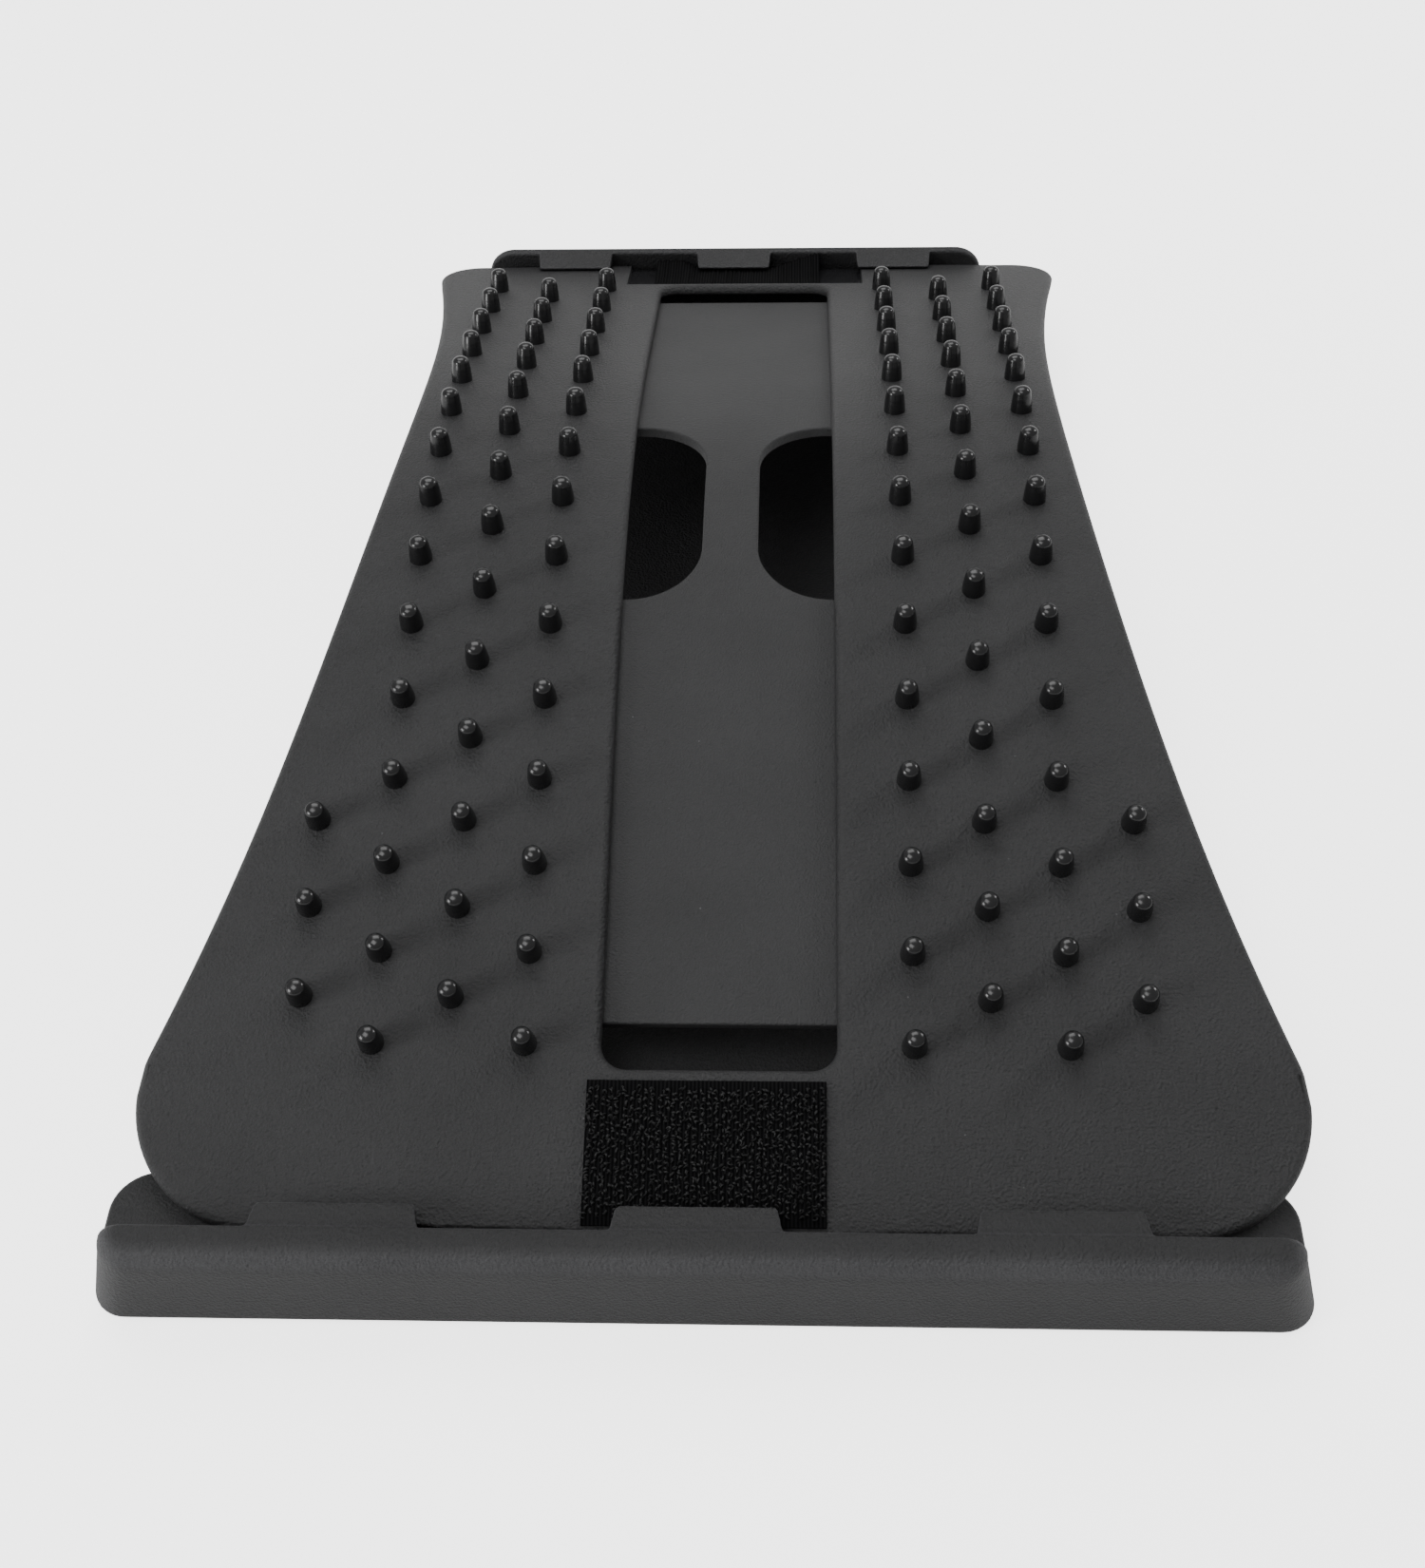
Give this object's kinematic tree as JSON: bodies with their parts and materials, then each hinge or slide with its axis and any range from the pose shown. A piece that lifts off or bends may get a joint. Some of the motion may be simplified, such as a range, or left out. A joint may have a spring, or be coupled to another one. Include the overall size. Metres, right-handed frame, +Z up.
{
  "type": "arched back stretching board",
  "caption": "Arched lumbar stretching board with rows of massage nubs and a spine slot, sprung into a base tray between two rows of hooks.",
  "frame": {"origin": "on the surface the object stands on, under the centre of its bounding box", "axes": "+X across the board, +Y from the wide near end to the narrow far end, +Z up"},
  "size_m": [0.2523, 0.3574, 0.0686],
  "materials": {
    "board_plastic": "leather-grained moulded black plastic, nubs polished",
    "plate_plastic": "fine sand-grained moulded black plastic",
    "base_plastic": "leather-grained moulded black plastic",
    "hook_tape": "black looped hook-and-loop tape",
    "foot_rubber": "matte black rubber"
  },
  "bodies": {
    "base": {"base_tray": "base_plastic", "rubber_foot_1": "foot_rubber", "rubber_foot_2": "foot_rubber", "rubber_foot_3": "foot_rubber", "rubber_foot_4": "foot_rubber"},
    "arch_far": {"arch_board_far": "board_plastic", "centre_plate_far": "plate_plastic", "hook_patch_far": "hook_tape"},
    "arch_near": {"arch_board_near": "board_plastic", "centre_plate_near": "plate_plastic", "hook_patch_near": "hook_tape"}
  },
  "joints": [
    {"name": "far_hook_pivot", "type": "hinge", "parent": "base", "child": "arch_far", "pos_m": [0.0031, 0.1706, 0.02155], "axis": [-1, 0, 0], "range_deg": [0, 6.4]},
    {"name": "board_flex", "type": "hinge", "parent": "arch_far", "child": "arch_near", "pos_m": [0.0031, 0.01579, 0.05578], "axis": [1, 0, 0], "range_deg": [0, 10]}
  ],
  "couplings": [
    {"joint": "board_flex", "follows": "far_hook_pivot", "ratio": 1.56}
  ]
}
